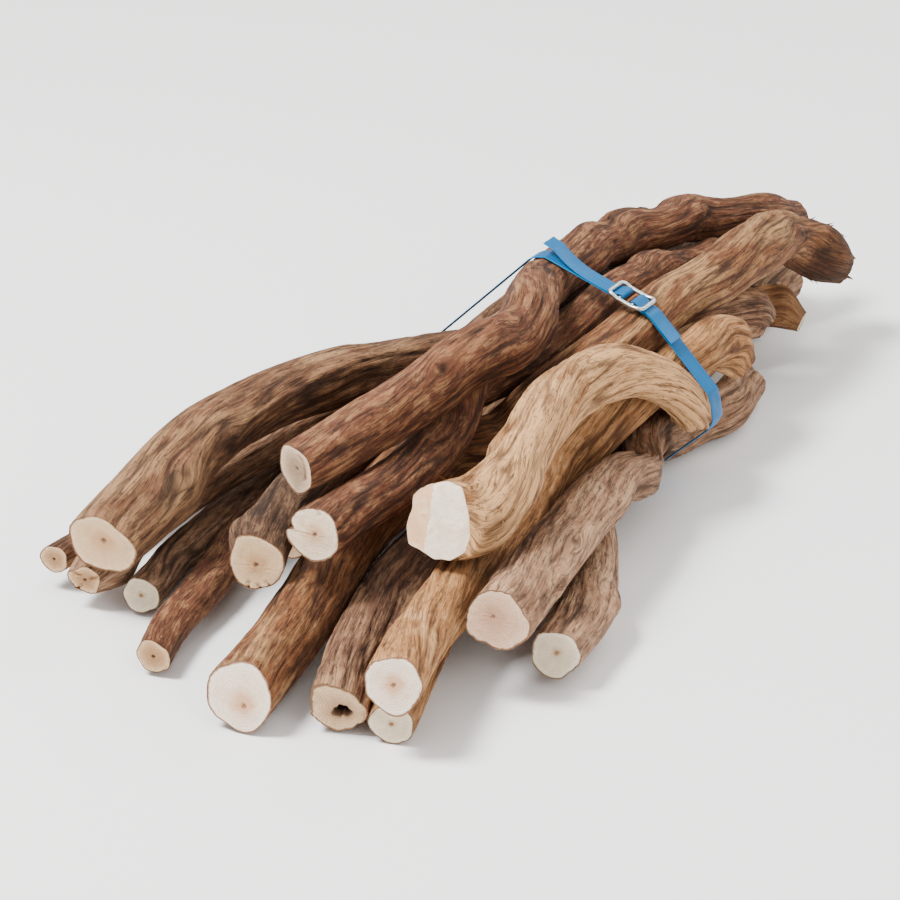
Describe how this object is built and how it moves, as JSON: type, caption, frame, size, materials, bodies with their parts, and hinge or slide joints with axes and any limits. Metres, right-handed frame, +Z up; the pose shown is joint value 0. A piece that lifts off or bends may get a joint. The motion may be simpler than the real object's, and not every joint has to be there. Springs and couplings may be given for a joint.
{
  "type": "liana vine bundle",
  "caption": "Strapped bundle of cut, twisted liana vine stems lying on their sides, fanned towards the sawn front ends, held by a flat blue plastic strap with a bent wire buckle.",
  "frame": {"origin": "middle of the bounding box, on the surface that the bundle lies on", "axes": "+Z up, +Y from the fanned sawn front ends along the stems to their back ends, +X to the right seen from the front ends"},
  "size_m": [0.398, 0.8252, 0.1768],
  "materials": {
    "bark_brown": "matte fibrous bark, reddish brown",
    "bark_grey": "matte fibrous bark, grey brown",
    "bark_tan": "matte stripped wood, tan",
    "polypropylene_strap": "satin extruded strap, bright blue",
    "galvanised_wire": "galvanised wire, dull metallic"
  },
  "bodies": {
    "root": {"stem_mottled_top": "bark_brown", "stem_notched": "bark_brown", "stem_nubbed": "bark_grey", "stem_slim_left": "bark_brown", "stem_stout": "bark_brown", "stem_hollow_pith": "bark_grey", "stem_tan": "bark_tan", "stem_slim_under": "bark_tan", "stem_hooked": "bark_tan", "stem_grey_right": "bark_grey", "stem_lumpy_right": "bark_tan", "stem_knotty_left": "bark_tan", "stem_thin_left": "bark_grey", "stem_knobbed": "bark_grey", "stem_low_left": "bark_grey", "stem_inner": "bark_brown", "strap": "polypropylene_strap", "wire_buckle": "galvanised_wire"}
  },
  "joints": []
}
